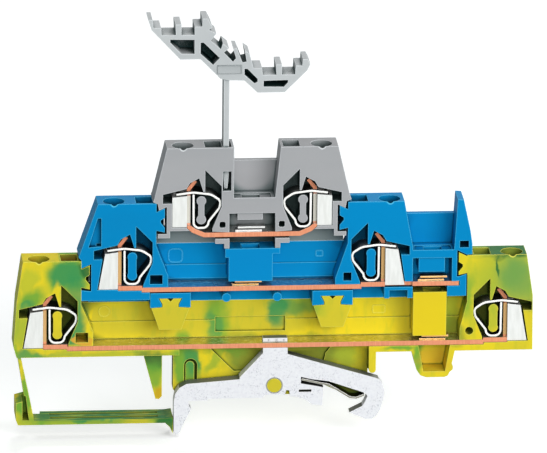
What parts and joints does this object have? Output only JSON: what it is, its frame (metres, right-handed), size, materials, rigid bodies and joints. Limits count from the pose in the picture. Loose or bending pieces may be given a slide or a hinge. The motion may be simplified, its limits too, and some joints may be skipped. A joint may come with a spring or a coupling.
{
  "type": "triple level terminal block",
  "caption": "Three-deck spring-clamp terminal block for a 35 mm rail, open on one side, with a plug-in marker carrier on a stem.",
  "frame": {"origin": "middle of the rail seat: halfway between the two flange stops, on the top face of the rail's flanges, at half the block's width", "axes": "+X along the wires towards the jumper bay, +Y through the width towards the closed back, +Z away from the rail"},
  "size_m": [0.1033, 0.006, 0.086],
  "materials": {
    "housing_yellow_green": "yellow polyamide marbled with green, light sheen",
    "housing_blue": "blue polyamide, light sheen",
    "housing_grey": "grey polyamide, light sheen",
    "carrier_grey": "light grey moulded plastic",
    "tinned_copper": "copper with bright tin plating, bare copper on its cut front edge",
    "pressed_sheet_steel": "bright plated sheet",
    "spring_steel": "bright stainless strip",
    "zinc_plated_steel": "zinc-plated stamped plate",
    "contact_bronze": "bright contact strip"
  },
  "bodies": {
    "block": {"bottom_housing": "housing_yellow_green", "middle_housing": "housing_blue", "top_housing": "housing_grey", "middle_shaft_block": "housing_blue", "bottom_shaft_block": "housing_yellow_green", "rail_foot": "zinc_plated_steel", "foot_leaf_spring": "spring_steel", "bottom_busbar": "tinned_copper", "middle_busbar": "tinned_copper", "top_busbar": "tinned_copper", "clamp_spring_bottom_left": "spring_steel", "wire_pocket_bottom_left": "pressed_sheet_steel", "clamp_spring_bottom_right": "spring_steel", "wire_pocket_bottom_right": "pressed_sheet_steel", "clamp_spring_middle_left": "spring_steel", "wire_pocket_middle_left": "pressed_sheet_steel", "clamp_spring_middle_right": "spring_steel", "wire_pocket_middle_right": "pressed_sheet_steel", "clamp_spring_top_left": "spring_steel", "wire_pocket_top_left": "pressed_sheet_steel", "clamp_spring_top_right": "spring_steel", "wire_pocket_top_right": "pressed_sheet_steel", "jumper_contact_top": "contact_bronze", "jumper_contact_middle": "contact_bronze", "jumper_contact_bay": "contact_bronze", "jumper_contact_bottom": "contact_bronze"},
    "marker carrier": {"marker_carrier": "carrier_grey"}
  },
  "joints": [
    {"name": "marker_carrier_pull", "type": "slide", "parent": "block", "child": "marker carrier", "axis": [0, 0, 1], "range_m": [0, 0.01]}
  ]
}
